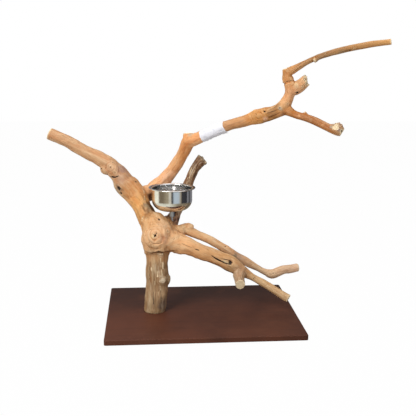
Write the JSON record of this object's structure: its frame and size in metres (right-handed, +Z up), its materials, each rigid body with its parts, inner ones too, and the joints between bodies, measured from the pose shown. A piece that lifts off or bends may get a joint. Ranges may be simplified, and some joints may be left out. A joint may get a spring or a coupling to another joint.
{
  "type": "parrot play stand",
  "caption": "Branching hardwood perch tree on a flat rectangular board, with a steel food cup that screws onto a rod at the fork.",
  "frame": {"origin": "centre of the board's underside", "axes": "+X to the right of the stand along the board's long side, +Y to its back, +Z up"},
  "size_m": [0.8778, 0.4064, 0.7372],
  "materials": {
    "board_wood": "satin dark brown stain",
    "trunk_wood": "weathered bare hardwood, grey-brown",
    "branch_wood": "sanded bare hardwood, warm tan",
    "bark_wood": "rough streaked wood",
    "dowel_wood": "plain turned dowel",
    "fastener_steel": "plain zinc-plated steel",
    "cup_steel": "polished stainless steel",
    "label_paper": "matt white paper"
  },
  "bodies": {
    "stand": {"base_board": "board_wood", "trunk_post": "trunk_wood", "crotch": "trunk_wood", "left_leader": "trunk_wood", "left_limb": "branch_wood", "upper_limb": "branch_wood", "fork_head": "branch_wood", "top_perch": "branch_wood", "lower_perch": "branch_wood", "stump_limb": "bark_wood", "rear_limb": "branch_wood", "front_limb": "branch_wood", "crotch_dowel": "dowel_wood", "left_leader_dowel": "dowel_wood", "left_limb_dowel": "dowel_wood", "upper_limb_dowel": "dowel_wood", "fork_head_dowel": "dowel_wood", "top_perch_dowel": "dowel_wood", "lower_perch_dowel": "dowel_wood", "stump_limb_dowel": "dowel_wood", "rear_limb_dowel": "dowel_wood", "front_limb_dowel": "dowel_wood", "lag_screw": "fastener_steel", "lag_washer": "fastener_steel", "side_screws": "fastener_steel", "cup_rod": "fastener_steel", "coupling_nut": "fastener_steel", "paper_label": "label_paper"},
    "cup_lift": {"cup_washer": "fastener_steel"},
    "cup": {"cup_bowl": "cup_steel", "cup_stud": "fastener_steel"}
  },
  "joints": [
    {"name": "cup_rise", "type": "slide", "parent": "stand", "child": "cup_lift", "axis": [0, 0, 1], "range_m": [0, 0.00763]},
    {"name": "cup_unscrew", "type": "hinge", "parent": "cup_lift", "child": "cup", "pos_m": [-0.077, 0.0558, 0.2802], "axis": [0, 0, 1], "range_deg": [0, 2160]}
  ],
  "couplings": [
    {"joint": "cup_rise", "follows": "cup_unscrew", "m_per_rad": 0.00020213}
  ]
}
